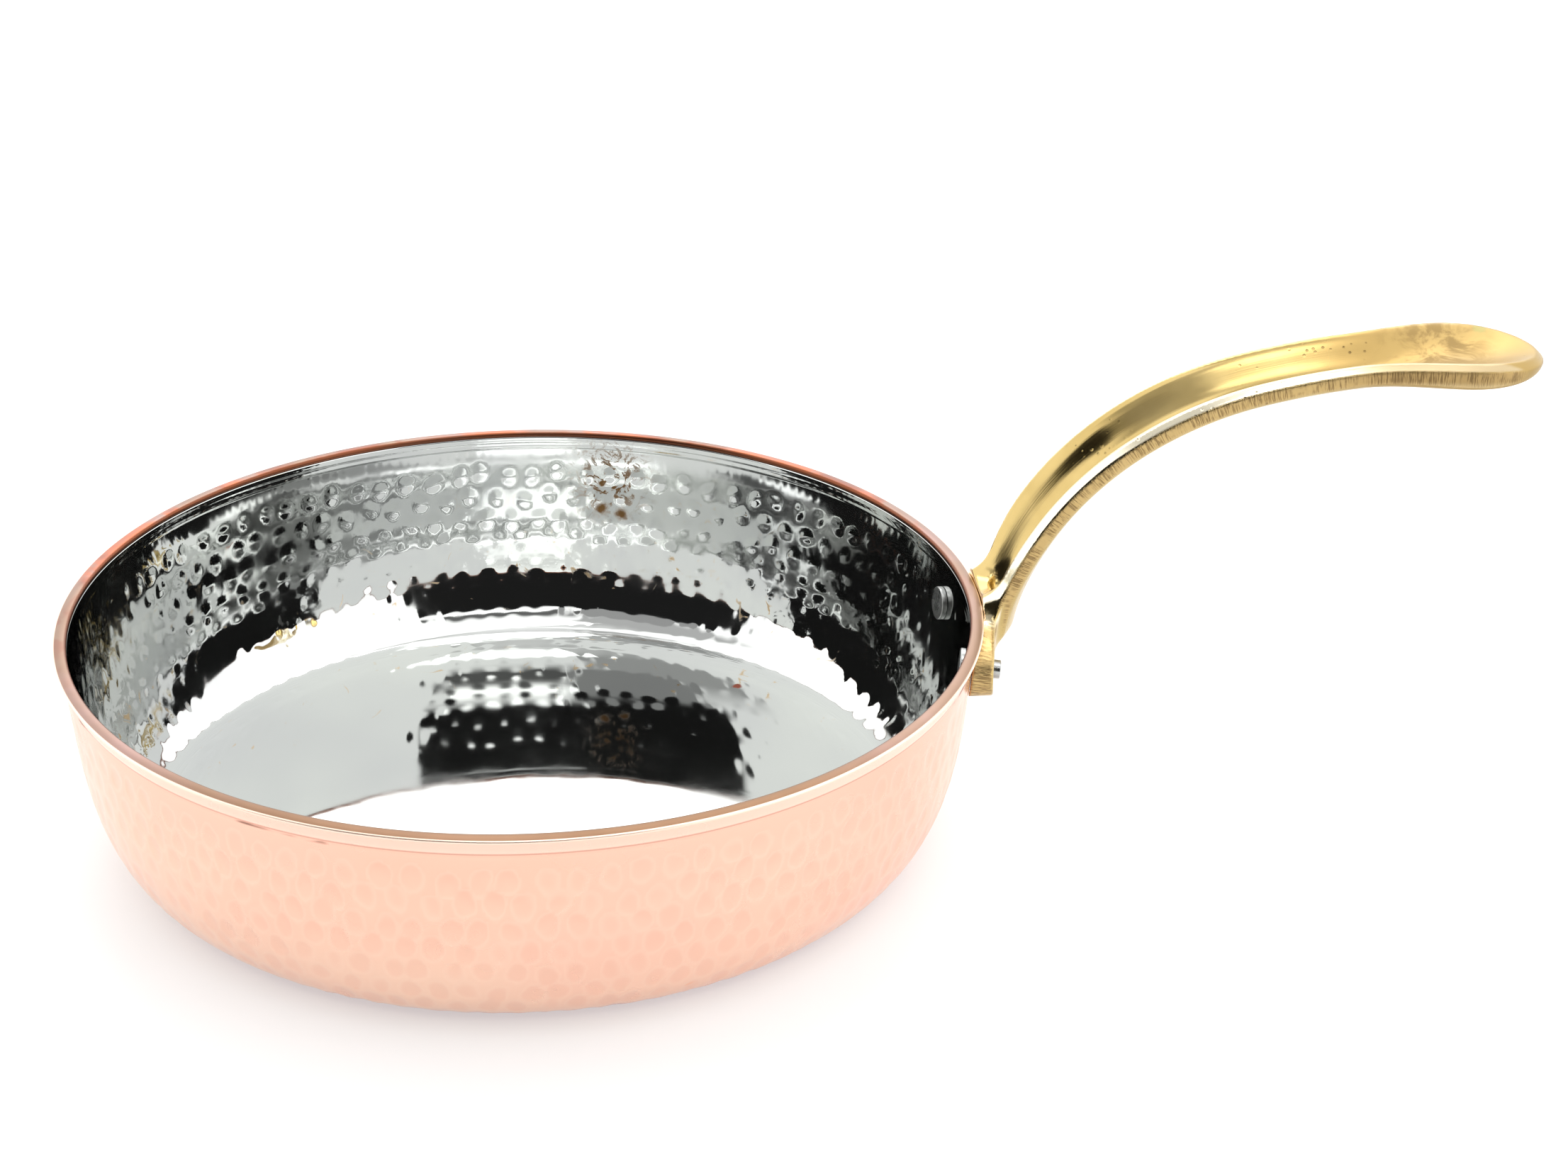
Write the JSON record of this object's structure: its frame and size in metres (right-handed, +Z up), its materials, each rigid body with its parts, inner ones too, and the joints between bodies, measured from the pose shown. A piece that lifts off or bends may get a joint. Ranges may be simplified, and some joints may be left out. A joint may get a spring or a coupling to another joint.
{
  "type": "hammered copper frying pan",
  "caption": "Shallow round copper pan with hammered walls, turned lip and bright lining, with a curved brass handle riveted to its side.",
  "frame": {"origin": "centre of the pan's flat base, on the surface that it stands on", "axes": "+Z up out of the bowl, +X from the bowl's axis out along the handle"},
  "size_m": [0.387, 0.24, 0.1251],
  "materials": {
    "copper": "polished, hammered copper",
    "lining": "bright tin over hammered copper",
    "brass": "polished cast brass with filed edges",
    "rivet_steel": "dull grey turned metal"
  },
  "bodies": {
    "root": {"copper_body": "copper", "tin_lining": "lining", "brass_handle": "brass", "near_rivet": "rivet_steel", "far_rivet": "rivet_steel"}
  },
  "joints": []
}
